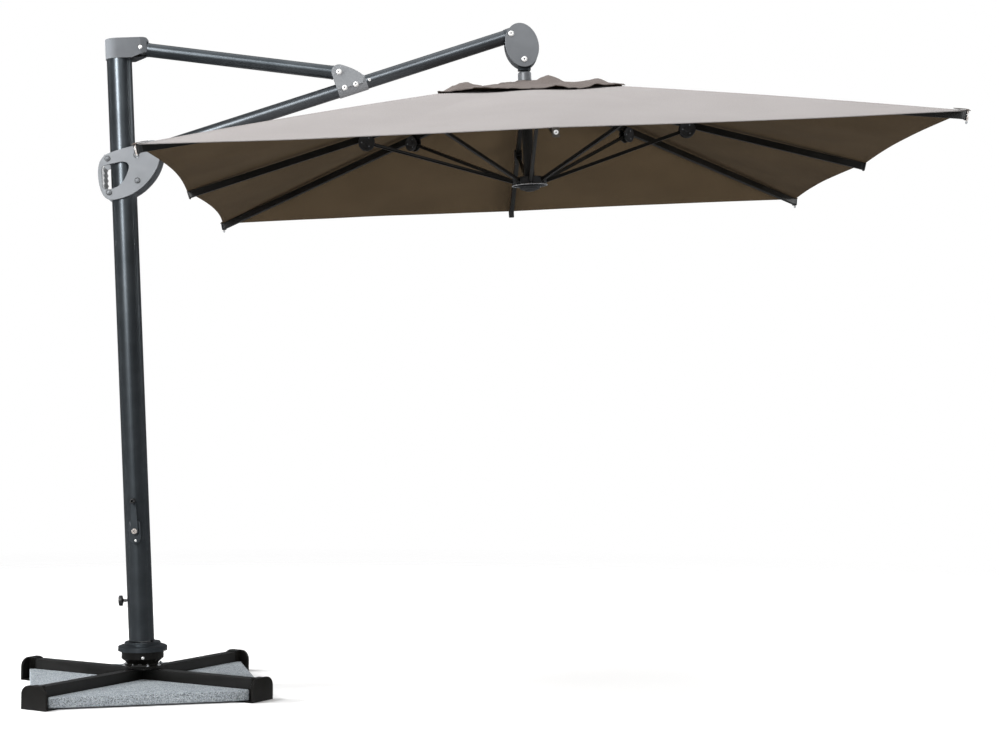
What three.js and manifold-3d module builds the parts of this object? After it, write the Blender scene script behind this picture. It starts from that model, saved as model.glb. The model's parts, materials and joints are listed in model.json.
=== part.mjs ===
// Cantilever parasol: a cross base with stone slabs, a raked mast with a swivel collar, a top link
// and a main arm that carry a square eight-rib canopy, and the crank and slider that work them.
// Millimetres, +Z up, origin on the floor under the middle of the base. +X runs from the mast
// towards the canopy, and the arms lie in the XZ plane.

import * as THREE from 'three';
import { mergeVertices } from 'three/addons/utils/BufferGeometryUtils.js';
import Module from 'manifold-3d';

const wasm = await Module();
wasm.setup();

// ---------------------------------------------------------------- driving dimensions

const DEG = Math.PI / 180;
const GAP = 0.4;                      // between faces that touch

// base
const BASE_YAW = 12 * DEG;            // the cross is set a little askew to the arms
const BASE_REACH = 654;               // axis to the outer face of an end cap
const BAR = { wide: 44, low: 6, high: 92, wall: 4, solidTo: 60 };
const FOOT = { radius: 48 };
const CAP = { wide: 136, tall: 98, plate: 12, hood: 30, hoodWall: 4, ledge: 88, ledgeThick: 5 };
const SLAB = { edge: 472, clip: 405, low: 6, high: 49, wall: 30 };
const PLATE = { half: 66, low: 92.4, high: 100 };

// swivel
const SOCKET = { neck: 74, ring: 90, bore: 46, low: 100.4, ringLow: 137, high: 168 };
const COVER = { top: 77, flange: 105, low: 168.6, shoulder: 190, high: 207, bore: 47 };
const SPIGOT = { radius: 34, wall: 5, low: 101, high: 430 };

// mast
const RAKE = 2.45 * DEG;              // the mast and all it carries lean back
const RAKE_HEIGHT = 100;              // height at which the leaning axis crosses the base axis
const MAST = { radius: 54, wall: 3.5, low: 212, high: 2752, groove: 3 };
const LINK_HEAD = new THREE.Vector3(100, 0, 2782);      // pivot of the link in the mast head
const LINK_ARM = new THREE.Vector3(955, 0, 2647);       // pivot of the link on the arm bracket
const ARM_FOOT = new THREE.Vector3(120, 0, 2333);       // pivot of the arm in the slider
const ARM_SLOPE = 15.96 * DEG;
const ARM_END = 1690;                 // x of the arm tube's outer end
const CRANK = { z: 689, axle: 9, drum: 32, face: -77, length: 131, boss: 16, tip: 10 };
const CLAMP_Z = 386;
const CHEEK = { inner: 32.5, thick: 9 };
const HEAD_CAP = { radius: 58, front: 126, corner: 28, wall: 2.5, top: 2825, low: 2738, knee: 62, rise: 26 };
const SLIDER = { inner: 59, outer: 65, sleeveLow: 2292, sleeveHigh: 2318 };
const GRIP = { back: -93, face: -74, low: 2172, high: 2264, fingers: 4, hollow: 5 };

// link, arm and the disc at its head
const LINK = { radius: 30, wall: 2.5, start: 132, end: 922 };
const ARM = { radius: 31, wall: 3, start: 165, plug: 60 };
const BRACKET = { from: 945, to: 1072, sleeve: 34.5, fin: 38.5, finIn: 31.5, eye: 33 };
const DISC = { x: 1760, z: 2738, major: 98, minor: 73, lean: 12 * DEG, inner: 38, thick: 7 };
const BOLT = { radius: 5, clear: 5.4 };
const HANGER_PIN = new THREE.Vector3(1768, 0, 2674);
const TILT_PIN = new THREE.Vector3(1768, 0, 2609);

// canopy, heights above the rim plane
const RIM_DROP = 521;                 // hanger pin down to the rim plane
const HANG = { nod: 0.43 * DEG, settle: 0.29 * DEG };
const HALF_SIDE = 1500;
const RIB_COUNT = 8;
const RIB_STEP = 2 * Math.PI / RIB_COUNT;
const RIB = { pivot: 60, crown: 395, tip: -8, wide: 20, deep: 28, drop: 23, bracketAt: 708 };
const STRUT = { wide: 15, deep: 14, pivot: 62, foot: -15 };
const VENT = { half: 395, hole: 250, edge: 352, top: 444, neck: 40 };
const CLOTH = 3;
const SCALLOP = 36;                   // how far the hem draws in between two ribs
const SHAFT = { radius: 23.5, wall: 3 };

// ---------------------------------------------------------------- materials

function finish(color, roughness, metalness) {
  return new THREE.MeshStandardMaterial({ color, roughness, metalness });
}

const graphite = finish(0x4a4d50, 0.35, 0.6);
const plateGrey = finish(0x7d8287, 0.4, 0.5);
const black = finish(0x1b1b1a, 0.5, 0.2);
const granite = finish(0x98a2aa, 0.85, 0);
const steel = finish(0xd8dadc, 0.25, 1);
const plastic = finish(0x232426, 0.5, 0);
const taupe = finish(0xb0a8a6, 0.95, 0);

// ---------------------------------------------------------------- solids

function bare(geometry) {
  const copy = geometry.clone();
  for (const name of Object.keys(copy.attributes)) {
    if (name !== 'position') {
      copy.deleteAttribute(name);
    }
  }
  copy.clearGroups();
  return mergeVertices(copy, 1e-3);
}

function solid(geometry) {
  const clean = bare(geometry);
  return new wasm.Manifold(new wasm.Mesh({
    numProp: 3,
    vertProperties: new Float32Array(clean.attributes.position.array),
    triVerts: new Uint32Array(clean.index.array),
  }));
}

function geometryOf(manifold) {
  const mesh = manifold.getMesh();
  const points = new Float32Array((mesh.vertProperties.length / mesh.numProp) * 3);
  for (let i = 0; i < points.length / 3; i += 1) {
    for (let axis = 0; axis < 3; axis += 1) {
      points[3 * i + axis] = mesh.vertProperties[mesh.numProp * i + axis];
    }
  }
  const geometry = new THREE.BufferGeometry();
  geometry.setAttribute('position', new THREE.BufferAttribute(points, 3));
  geometry.setIndex(new THREE.BufferAttribute(new Uint32Array(mesh.triVerts), 1));
  geometry.computeVertexNormals();
  return geometry;
}

function join(...geometries) {
  return geometryOf(geometries.map(solid).reduce((whole, piece) => whole.add(piece)));
}

function cut(geometry, ...cutters) {
  return geometryOf(cutters.map(solid).reduce((whole, piece) => whole.subtract(piece), solid(geometry)));
}

function common(first, second) {
  return geometryOf(solid(first).intersect(solid(second)));
}

function box(x0, x1, y0, y1, z0, z1) {
  const geometry = new THREE.BoxGeometry(x1 - x0, y1 - y0, z1 - z0);
  return geometry.translate((x0 + x1) / 2, (y0 + y1) / 2, (z0 + z1) / 2);
}

// A solid of revolution about Z from [radius, height] pairs, listed upwards on the outside.
function turned(profile, segments = 28) {
  const points = profile.map(([r, z]) => new THREE.Vector2(r, z));
  return new THREE.LatheGeometry(points, segments).rotateX(Math.PI / 2);
}

function ring(inner, outer, z0, z1, segments = 28) {
  return turned([[inner, z0], [outer, z0], [outer, z1], [inner, z1], [inner, z0]], segments);
}

function rod(radius, from, to, segments = 16) {
  const along = to.clone().sub(from);
  const geometry = new THREE.CylinderGeometry(radius, radius, along.length(), segments);
  const turn = new THREE.Quaternion().setFromUnitVectors(new THREE.Vector3(0, 1, 0), along.normalize());
  geometry.applyQuaternion(turn);
  const middle = from.clone().add(to).multiplyScalar(0.5);
  return geometry.translate(middle.x, middle.y, middle.z);
}

// A pin along Y through the point, from y0 to y1.
function pin(point, radius, y0, y1, segments = 12) {
  const from = new THREE.Vector3(point.x, y0, point.z);
  const to = new THREE.Vector3(point.x, y1, point.z);
  return rod(radius, from, to, segments);
}

function tube(outer, inner, from, to, segments = 24) {
  const along = to.clone().sub(from).normalize();
  const before = from.clone().addScaledVector(along, -1);
  const after = to.clone().addScaledVector(along, 1);
  return cut(rod(outer, from, to, segments), rod(inner, before, after, segments));
}

// A shape drawn in the XZ plane and given a thickness from y0 to y1.
function sidePlate(shape, y0, y1, curveSegments = 10) {
  const geometry = new THREE.ExtrudeGeometry(shape, {
    depth: y1 - y0,
    bevelEnabled: false,
    curveSegments,
  });
  return geometry.rotateX(Math.PI / 2).translate(0, y1, 0);
}

function named(name, geometry, material) {
  const mesh = new THREE.Mesh(geometry, material);
  mesh.name = name;
  return mesh;
}

// ---------------------------------------------------------------- base

const QUARTERS = ['front_left', 'front_right', 'back_right', 'back_left'];
const quarterTurn = (index) => (225 + 90 * index) * DEG;

// Two bars cross at right angles: one runs through with a foot under its middle, and the other is
// notched over it.
function baseBar(along, notched) {
  const reach = BASE_REACH - CAP.plate - GAP;
  const half = BAR.wide / 2;
  const middle = (BAR.low + BAR.high) / 2;
  const bar = box(-reach, reach, -half, half, BAR.low, BAR.high);
  const { wall, solidTo } = BAR;
  const notch = box(-half - GAP, half + GAP, -half - 1, half + 1,
    notched ? BAR.low - 1 : middle, notched ? middle + GAP : BAR.high + 1);
  const bored = cut(bar, notch,
    box(solidTo, reach + 1, -half + wall, half - wall, BAR.low + wall, BAR.high - wall),
    box(-reach - 1, -solidTo, -half + wall, half - wall, BAR.low + wall, BAR.high - wall));
  if (notched) {
    return bored.rotateZ(along);
  }
  const foot = turned([[0, 0], [FOOT.radius, 0], [FOOT.radius, BAR.low - GAP], [0, BAR.low - GAP]], 24);
  const boss = turned([[0, 1], [half - 4, 1], [half - 4, BAR.low + 1], [0, BAR.low + 1]], 16);
  return join(bored, foot, boss).rotateZ(along);
}

function archShape(wide, tall) {
  const half = wide / 2;
  const corner = wide * 0.3;
  const shape = new THREE.Shape();
  shape.moveTo(-half, 0);
  shape.lineTo(half, 0);
  shape.lineTo(half, tall - corner);
  shape.absarc(half - corner, tall - corner, corner, 0, Math.PI / 2);
  shape.lineTo(-half + corner, tall);
  shape.absarc(-half + corner, tall - corner, corner, Math.PI / 2, Math.PI);
  shape.closePath();
  return shape;
}

// Stands across the end of a bar: arched plate, a hood round the bar's end and a ledge under the
// corners of two slabs. Built along +X.
function endCap() {
  const outward = (shape, x0, x1) => new THREE.ExtrudeGeometry(shape, {
    depth: x1 - x0, bevelEnabled: false, curveSegments: 8,
  }).rotateX(Math.PI / 2).rotateZ(Math.PI / 2).translate(x0, 0, 0);
  const face = BASE_REACH - CAP.plate;
  const plate = outward(archShape(CAP.wide, CAP.tall), face, BASE_REACH);
  const hoodHalf = BAR.wide / 2 + CAP.hoodWall;
  const hood = box(face - CAP.hood, face + 1, -hoodHalf, hoodHalf, 0, BAR.high + CAP.hoodWall);
  const ledge = box(face - CAP.ledge, face + 1, -CAP.wide / 2, CAP.wide / 2, 0, CAP.ledgeThick);
  const half = BAR.wide / 2 + GAP;
  const pocket = box(face - 2 * CAP.ledge, face, -half, half, BAR.low - GAP, BAR.high + GAP);
  return cut(join(plate, hood, ledge), pocket);
}

// A triangular slab that fills one quarter of the cross. Its outer edge faces -Y before turning.
function slab() {
  const { edge, clip, low, high } = SLAB;
  const root = SLAB.wall * Math.SQRT2;
  const shape = new THREE.Shape();
  shape.moveTo(0, -root);
  shape.lineTo(-clip, -root - clip);
  shape.lineTo(-clip, -edge);
  shape.lineTo(clip, -edge);
  shape.lineTo(clip, -root - clip);
  shape.closePath();
  const geometry = new THREE.ExtrudeGeometry(shape, { depth: high - low, bevelEnabled: false });
  return geometry.translate(0, 0, low);
}

function basePlate() {
  const { half, low, high } = PLATE;
  const plate = box(-half, half, -half, half, low, high);
  return cut(plate, ring(0, 20, low - 1, high + 1, 24)).rotateZ(45 * DEG);
}

function base() {
  const group = new THREE.Group();
  group.add(named('base_bar_through', baseBar(45 * DEG, false), black));
  group.add(named('base_bar_notched', baseBar(135 * DEG, true), black));
  QUARTERS.forEach((quarter, index) => {
    group.add(named(`end_cap_${quarter}`, endCap().rotateZ(quarterTurn(index)), black));
  });
  const sides = ['front', 'right', 'back', 'left'];
  sides.forEach((side, index) => {
    group.add(named(`stone_slab_${side}`, slab().rotateZ(index * 90 * DEG), granite));
  });
  group.add(named('base_plate', basePlate(), black));
  group.rotation.z = BASE_YAW;
  return group;
}

// ---------------------------------------------------------------- swivel

function swivelSocket() {
  const { neck, ring: wide, bore, low, ringLow, high } = SOCKET;
  return turned([
    [bore, low], [88, low], [88, low + 6], [66, low + 8], [66, ringLow - 22], [neck, ringLow - 14],
    [wide, ringLow], [wide, high], [bore, high], [bore, low],
  ], 36);
}

function swivelCover() {
  const { top, flange, low, shoulder, high, bore } = COVER;
  return turned([
    [bore, low], [flange, low], [flange, shoulder - 3], [flange - 4, shoulder],
    [top + 2, shoulder + 7], [top, shoulder + 7], [top, high - 3], [top - 3, high], [bore, high], [bore, low],
  ], 36);
}

function spigot() {
  const { radius, wall, low, high } = SPIGOT;
  const inner = radius - wall;
  return turned([[inner, low], [radius, low], [radius, high], [inner, high], [inner, low]], 32);
}

function bearingBush() {
  return ring(SPIGOT.radius + GAP, SOCKET.bore - GAP, SOCKET.low, SOCKET.high - 2, 32);
}

// The brake pedal sticks out of a recess in front of the neck.
function brakePedal() {
  const wide = 33;
  const pad = box(-wide, wide, -120, -92, 111, 116);
  const stem = box(-8, 8, -94, -69, 111, 118);
  return join(pad, stem);
}

// ---------------------------------------------------------------- mast

function mastTube() {
  const { radius, wall, low, high, groove } = MAST;
  const shell = ring(radius - wall, radius, low, high, 48);
  const cutters = [];
  const flutes = 4;
  for (let index = 0; index < flutes; index += 1) {
    const angle = (45 + index * 360 / flutes) * DEG;
    const at = radius + groove - 1.2;
    cutters.push(rod(groove,
      new THREE.Vector3(at * Math.cos(angle), at * Math.sin(angle), low - 1),
      new THREE.Vector3(at * Math.cos(angle), at * Math.sin(angle), high + 1), 8));
  }
  cutters.push(pin(new THREE.Vector3(0, 0, CRANK.z), CRANK.axle + 1, -radius - 2, 0));
  return cut(shell, ...cutters);
}

// Plug in the top of the mast with two cheeks that reach forward round the link's end.
function mastHead() {
  const plug = turned([[0, 2660], [MAST.radius - MAST.wall - GAP, 2660],
    [MAST.radius - MAST.wall - GAP, MAST.high - 2], [0, MAST.high - 2]], 32);
  const shoulder = turned([[0, MAST.high + GAP], [MAST.radius - 2, MAST.high + GAP],
    [MAST.radius - 2, 2800], [0, 2800]], 32);
  const neck = turned([[0, MAST.high - 10], [30, MAST.high - 10], [30, MAST.high + 10], [0, MAST.high + 10]], 24);
  const reach = LINK_HEAD.x + 18;
  const outer = CHEEK.inner + CHEEK.thick;
  const cheeks = box(30, reach, -outer, outer, 2758, 2806);
  const slot = box(58, reach + 1, -CHEEK.inner, CHEEK.inner, 2700, 2900);
  const lead = pin(LINK_HEAD, 5.3, -60, 60);
  return cut(join(plug, shoulder, neck, cheeks), slot, lead);
}

// Round at the mast's end and squarer in front, seen from above.
function capOutline(radius, front, corner, z0, z1) {
  const shape = new THREE.Shape();
  shape.moveTo(0, -radius);
  shape.lineTo(front - corner, -radius);
  shape.absarc(front - corner, -radius + corner, corner, -Math.PI / 2, 0);
  shape.lineTo(front, radius - corner);
  shape.absarc(front - corner, radius - corner, corner, 0, Math.PI / 2);
  shape.lineTo(0, radius);
  shape.absarc(0, 0, radius, Math.PI / 2, 3 * Math.PI / 2);
  const geometry = new THREE.ExtrudeGeometry(shape, { depth: z1 - z0, bevelEnabled: false, curveSegments: 12 });
  return geometry.translate(0, 0, z0);
}

// The cap's lower edge rises towards its front, where a slot lets the link in.

function headCap() {
  const { radius, front, corner, wall, top, low, knee, rise } = HEAD_CAP;
  const outer = capOutline(radius, front, corner, low - 10, top);
  const inner = capOutline(radius - wall, front - wall, corner - wall, low - 20, top - wall);
  const under = new THREE.Shape();
  under.moveTo(-radius - 5, low - 30);
  under.lineTo(front + 5, low - 30);
  under.lineTo(front + 5, low + rise);
  under.lineTo(knee, low);
  under.lineTo(-radius - 5, low);
  under.closePath();
  const slant = sidePlate(under, -radius - 5, radius + 5);
  const slot = box(front - 20, front + 5, -34, 34, low - 30, top - 12);
  return cut(outer, inner, slant, slot, pin(LINK_HEAD, 10.5, -radius - 5, radius + 5));
}

// Crank: a rounded housing on the front of the mast, the axle and drum in it, and the handle.
function capsule(half, length, depthFrom, depthTo, x, z) {
  const shape = new THREE.Shape();
  shape.moveTo(x + half, z - length);
  shape.lineTo(x + half, z + length);
  shape.absarc(x, z + length, half, 0, Math.PI);
  shape.lineTo(x - half, z - length);
  shape.absarc(x, z - length, half, Math.PI, 2 * Math.PI);
  return sidePlate(shape, depthFrom, depthTo, 10);
}

function crankHousing() {
  const body = capsule(24, 29, CRANK.face, -38, 0, CRANK.z);
  const axle = new THREE.Vector3(0, 0, CRANK.z);
  const seat = rod(MAST.radius + GAP, new THREE.Vector3(0, 0, 500), new THREE.Vector3(0, 0, 900), 48);
  return cut(body, seat, pin(axle, CRANK.axle + 0.6, -90, -30));
}

function crankDrum() {
  const axle = new THREE.Vector3(0, 0, CRANK.z);
  return join(pin(axle, CRANK.axle, CRANK.face - 12, 30), pin(axle, CRANK.drum - 12, -28, 18, 28),
    pin(axle, CRANK.drum, -32, -27.5, 28), pin(axle, CRANK.drum, 17.5, 22, 28));
}

function crankArm() {
  const axle = new THREE.Vector3(0, 0, CRANK.z);
  const top = new THREE.Vector3(0, 0, CRANK.z + CRANK.length);
  const arm = new THREE.Shape();
  arm.absarc(axle.x, axle.z, CRANK.boss, Math.PI, 2 * Math.PI);
  arm.absarc(top.x, top.z, CRANK.tip, 0, Math.PI);
  arm.closePath();
  const bar = sidePlate(arm, CRANK.face - 11, CRANK.face - 2, 8);
  const studLength = 14;
  const stud = pin(top, 4, CRANK.face - 11 - studLength, CRANK.face - 8, 12);
  return cut(join(bar, stud), pin(axle, CRANK.axle + GAP, CRANK.face - 30, CRANK.face));
}

function crankKnob() {
  const top = new THREE.Vector3(0, 0, CRANK.z + CRANK.length);
  const back = CRANK.face - 12;
  const knob = turned([[4.5, 0], [9, 0], [11.5, 6], [10.5, 30], [8, 34], [4.5, 34], [4.5, 0]], 24)
    .rotateX(Math.PI / 2);
  return knob.translate(top.x, back, top.z);
}

// The clamp knob on the back of the mast, on its threaded stem.
function clampKnob() {
  const stem = turned([[0, 0], [6, 0], [6, 16], [10, 18], [10, 20], [22, 21], [23, 24], [23, 33], [20, 36], [0, 36]], 20);
  const knob = stem.rotateY(-Math.PI / 2);
  return knob.translate(-MAST.radius - GAP, 0, CLAMP_Z);
}

// ---------------------------------------------------------------- link and arm

function alongLink(x) {
  const share = (x - LINK_HEAD.x) / (LINK_ARM.x - LINK_HEAD.x);
  return LINK_HEAD.clone().lerp(LINK_ARM, share);
}

// A cast end: a spigot in the tube, a collar against it and a round eye on the pin.
function linkEnd(pivot, tubeX) {
  const towards = tubeX > pivot.x ? 1 : -1;
  const inside = alongLink(tubeX + towards * 40);
  const mouth = alongLink(tubeX - towards * GAP);
  const collar = alongLink(tubeX - towards * 8);
  const eye = pin(pivot, 22, -24, 24, 24);
  const web = rod(22, pivot, inside, 16);
  const round = common(web, box(-200, 2200, -26, 26, 1900, 2900));
  const spigotPart = rod(LINK.radius - LINK.wall - GAP, mouth, inside, 20);
  const ringPart = rod(LINK.radius + 1, mouth, collar, 24);
  return cut(join(eye, round, spigotPart, ringPart), pin(pivot, 5.6, -40, 40));
}

// The link is one tube with its outer end welded in.
function linkTube() {
  const shell = tube(LINK.radius, LINK.radius - LINK.wall, alongLink(LINK.start), alongLink(LINK.end));
  const weld = rod(LINK.radius, alongLink(LINK.end - 10), alongLink(LINK.end + 8), 24);
  return join(shell, weld, linkEnd(LINK_ARM, LINK.end));
}

function boltPin(point, reach, head) {
  return join(pin(point, 5, -reach, reach), pin(point, head, -reach - 5, -reach + 0.5, 24),
    pin(point, head, reach - 0.5, reach + 5, 24));
}

function onArm(x) {
  const axisZ = 2546 + (x - 866) * Math.tan(ARM_SLOPE);
  return new THREE.Vector3(x, 0, axisZ);
}

function armTube() {
  return tube(ARM.radius, ARM.radius - ARM.wall, onArm(ARM.start), onArm(ARM_END));
}

// The arm's lower end plug with the eye that sits between the slider plates.
function armFoot() {
  const eye = pin(ARM_FOOT, 21, -26, 26, 20);
  const web = common(rod(21, ARM_FOOT, onArm(ARM.start + ARM.plug), 16), box(0, 400, -24, 24, 2200, 2500));
  const plug = rod(ARM.radius - ARM.wall - GAP, onArm(ARM.start + GAP), onArm(ARM.start + ARM.plug), 20);
  const collar = rod(ARM.radius, onArm(ARM.start - 8), onArm(ARM.start - GAP), 20);
  const bolt = pin(ARM_FOOT, 9, -44, 44, 12);
  return join(eye, web, plug, collar, bolt);
}

// A sleeve clamped round the arm, with two fins that take the link's pin.
function armBracket() {
  const sleeve = rod(BRACKET.sleeve, onArm(BRACKET.from), onArm(BRACKET.to), 24);
  const bore = rod(ARM.radius + GAP, onArm(BRACKET.from - 20), onArm(BRACKET.to + 20), 24);
  const left = onArm(BRACKET.from);
  const right = onArm(BRACKET.to - 30);
  const shape = new THREE.Shape();
  shape.moveTo(left.x, left.z);
  shape.lineTo(LINK_ARM.x - BRACKET.eye, LINK_ARM.z - 4);
  shape.absarc(LINK_ARM.x, LINK_ARM.z, BRACKET.eye, Math.PI, Math.PI * 0.42, true);
  shape.quadraticCurveTo(LINK_ARM.x + 75, LINK_ARM.z + 12, right.x + 22, right.z + ARM.radius - 2);
  shape.lineTo(right.x + 14, right.z);
  shape.closePath();
  const front = sidePlate(shape, -BRACKET.fin, -BRACKET.finIn, 14);
  const rear = sidePlate(shape, BRACKET.finIn, BRACKET.fin, 14);
  const stud = pin(LINK_ARM, BOLT.radius, -BRACKET.fin - 2, BRACKET.fin - 1);
  return join(cut(join(sleeve, front, rear), bore), stud);
}

// The head disc: two oval plates that clamp the arm's end and hold the hanger pin between them.
const ARM_BOLT = onArm(1714);

function discPlate(y0, y1) {
  const shape = new THREE.Shape();
  shape.absellipse(DISC.x, DISC.z, DISC.minor, DISC.major, 0, 2 * Math.PI, false, DISC.lean);
  return sidePlate(shape, y0, y1, 36);
}

function discFront() {
  const y0 = -DISC.inner - DISC.thick;
  const y1 = -DISC.inner;
  return cut(discPlate(y0, y1), pin(ARM_BOLT, BOLT.clear, y0 - 5, y1 + 5), pin(HANGER_PIN, BOLT.clear, y0 - 5, y1 + 5));
}

// The rear plate carries the two studs that hold the front plate, the arm and the hanger.
function discRear() {
  const face = DISC.inner + DISC.thick;
  const plate = discPlate(DISC.inner, face);
  return join(plate, pin(ARM_BOLT, BOLT.radius, -face - 2, face - 1), pin(HANGER_PIN, BOLT.radius, -face - 2, face - 1));
}

function armHead() {
  const plug = rod(ARM.radius - ARM.wall - GAP, onArm(ARM_END - 50), onArm(ARM_END + 10), 20);
  const collar = rod(ARM.radius + 2, onArm(ARM_END + GAP), onArm(ARM_END + 18), 24);
  const tongue = common(rod(34, onArm(ARM_END + 10), onArm(1738), 20),
    box(1600, 1900, -DISC.inner + GAP, DISC.inner - GAP, 2600, 2900));
  return cut(join(plug, collar, tongue), pin(ARM_BOLT, BOLT.clear, -60, 60));
}

// ---------------------------------------------------------------- slider

// Plate outline: a rounded back that carries the grip, and a pointed front round the arm's foot.
function sliderOutline() {
  const shape = new THREE.Shape();
  shape.moveTo(-56, 2322);
  shape.bezierCurveTo(-20, 2334, 20, 2346, 60, 2352);
  shape.lineTo(128, 2372);
  shape.quadraticCurveTo(168, 2378, 172, 2336);
  shape.quadraticCurveTo(174, 2312, 167, 2288);
  shape.bezierCurveTo(154, 2244, 132, 2208, 84, 2168);
  shape.bezierCurveTo(44, 2138, 6, 2124, -42, 2120);
  shape.bezierCurveTo(-76, 2118, -92, 2150, -98, 2196);
  shape.bezierCurveTo(-104, 2240, -104, 2304, -56, 2322);
  return shape;
}

function sliderOpening() {
  const shape = new THREE.Shape();
  shape.moveTo(-84, 2256);
  shape.bezierCurveTo(-84, 2272, -60, 2272, -8, 2283);
  shape.bezierCurveTo(30, 2290, 40, 2268, 28, 2242);
  shape.bezierCurveTo(14, 2206, 0, 2178, -46, 2168);
  shape.bezierCurveTo(-72, 2164, -84, 2170, -84, 2186);
  shape.closePath();
  return shape;
}

function sliderPlate(side) {
  const y0 = side < 0 ? -SLIDER.outer : SLIDER.inner;
  const y1 = y0 + SLIDER.outer - SLIDER.inner;
  return cut(sidePlate(sliderOutline(), y0, y1, 8), sidePlate(sliderOpening(), y0 - 1, y1 + 1, 8));
}

// The sleeve that runs on the mast, with flats that the plates are riveted to.
function sliderSleeve(z0, z1) {
  const half = SLIDER.inner - GAP;
  const block = box(-72, 72, -half, half, z0, z1);
  return cut(block, rod(MAST.radius + 1.2, new THREE.Vector3(0, 0, z0 - 5), new THREE.Vector3(0, 0, z1 + 5), 48));
}

// The grip fills the back of the handle, with hollows for four fingers towards the mast.
function sliderGrip() {
  const half = SLIDER.inner - GAP;
  const shape = new THREE.Shape();
  const { back, face, low, high } = GRIP;
  const points = 24;
  shape.moveTo(back, low);
  shape.lineTo(face, low);
  for (let step = 1; step < points; step += 1) {
    const share = step / points;
    const hollow = GRIP.hollow * Math.abs(Math.sin(Math.PI * GRIP.fingers * share));
    shape.lineTo(face - hollow, low + share * (high - low));
  }
  shape.lineTo(face, high);
  shape.lineTo(back, high);
  shape.quadraticCurveTo(back - 6, (low + high) / 2, back, low);
  return sidePlate(shape, -half, half, 8);
}

// ---------------------------------------------------------------- canopy head

function hanger() {
  const half = 27.5;
  const low = TILT_PIN.z + 22.5;
  const neck = box(HANGER_PIN.x - half, HANGER_PIN.x + half, -22, 22, low, HANGER_PIN.z);
  const eye = pin(HANGER_PIN, half, -34, 34, 24);
  const tongue = pin(TILT_PIN, 17, -9, 9, 20);
  const stem = box(TILT_PIN.x - 17, TILT_PIN.x + 17, -9, 9, TILT_PIN.z, low + 2);
  return cut(join(neck, eye, tongue, stem), pin(HANGER_PIN, BOLT.clear, -60, 60), pin(TILT_PIN, BOLT.clear, -60, 60));
}

// Everything from here on hangs on the tilt pin. Heights count from the rim plane, and x and y
// from the canopy's own axis.
const RIM_Z = HANGER_PIN.z - RIM_DROP;
const TILT_Z = TILT_PIN.z - RIM_Z;

function tiltYoke() {
  const body = turned([[0, TILT_Z - 24], [31, TILT_Z - 24], [31, TILT_Z + 10],
    [25, TILT_Z + 16], [0, TILT_Z + 16]], 24);
  const slot = box(-40, 40, -10, 10, TILT_Z - 19, TILT_Z + 30);
  const at = new THREE.Vector3(0, 0, TILT_Z);
  return join(cut(body, slot), pin(at, BOLT.radius, -26, 26));
}

function shaft() {
  const { radius, wall } = SHAFT;
  const low = -34;
  const high = TILT_Z - 24 - GAP;
  return turned([[radius - wall, low], [radius, low], [radius, high], [radius - wall, high], [radius - wall, low]], 24);
}

function slotted(outer, inner, bore, z0, z1, slotWide) {
  const disc = turned([[bore, z0], [outer, z0], [outer, z1], [bore, z1], [bore, z0]], 32);
  const slots = [];
  for (let index = 0; index < RIB_COUNT; index += 1) {
    const slot = box(inner, outer + 20, -slotWide / 2, slotWide / 2, z0 - 5, z1 + 5);
    slots.push(slot.rotateZ(index * RIB_STEP));
  }
  return cut(disc, ...slots);
}

function crown() {
  return slotted(74, 41, SHAFT.radius + GAP, RIB.crown - 16, RIB.crown + 18, RIB.wide + 1.6);
}

function runner() {
  return slotted(76, 46, SHAFT.radius + 1, STRUT.foot - 14, STRUT.foot + 20, STRUT.wide + 2.5);
}

// Half a rib's angle to the level and its length, for a mid-side rib or a corner rib.
function ribRun(isCorner) {
  const reach = (isCorner ? HALF_SIDE * Math.SQRT2 : HALF_SIDE) - 10;
  const run = reach - RIB.pivot;
  const fall = RIB.crown - RIB.tip;
  return { run, fall, slope: Math.atan2(fall, run), length: Math.hypot(run, fall) };
}

// The point of the strut pin on a rib that runs along +X.
function bracketPoint(isCorner) {
  const { slope } = ribRun(isCorner);
  const along = (RIB.bracketAt - RIB.pivot - RIB.drop * Math.sin(-slope)) / Math.cos(slope);
  return {
    along,
    x: RIB.bracketAt,
    z: RIB.crown - along * Math.sin(slope) - RIB.drop * Math.cos(slope),
  };
}

// A box-section rib, open at its outer end, with a round heel in the crown and a pair of cheeks
// for its strut. Along +X.
function rib(isCorner) {
  const { slope, length } = ribRun(isCorner);
  const half = RIB.wide / 2;
  const deep = RIB.deep / 2;
  const bar = box(0, length, -half, half, -deep, deep);
  const heel = pin(new THREE.Vector3(0, 0, 0), deep, -half, half, 12);
  const { along } = bracketPoint(isCorner);
  const eye = new THREE.Vector3(along, 0, -RIB.drop);
  const cheekPin = pin(eye, 4, -half - 4, half + 4, 8);
  const near = pin(eye, 35, -half - 4, -half + 0.6, 16);
  const far = pin(eye, 35, half - 0.6, half + 4, 16);
  const wall = 1.6;
  const hollow = box(24, length + 1, -half + wall, half - wall, -deep + wall, deep - wall);
  const geometry = cut(join(bar, heel, near, far, cheekPin), hollow);
  return geometry.rotateY(slope).translate(RIB.pivot, 0, RIB.crown);
}

function strut(isCorner) {
  const top = bracketPoint(isCorner);
  const foot = new THREE.Vector3(STRUT.pivot, 0, STRUT.foot);
  const head = new THREE.Vector3(top.x, 0, top.z);
  const length = head.distanceTo(foot);
  const half = STRUT.wide / 2;
  const deep = STRUT.deep / 2;
  const bar = box(0, length, -half, half, -deep, deep);
  const ends = [0, length].map((x) => pin(new THREE.Vector3(x, 0, 0), deep, -half, half, 12));
  const eye = pin(new THREE.Vector3(length, 0, 0), 4.6, -half - 1, half + 1, 8);
  const geometry = cut(join(bar, ...ends), eye);
  const rise = Math.atan2(head.z - foot.z, head.x - foot.x);
  return geometry.rotateY(-rise).translate(foot.x, 0, foot.z);
}

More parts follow.
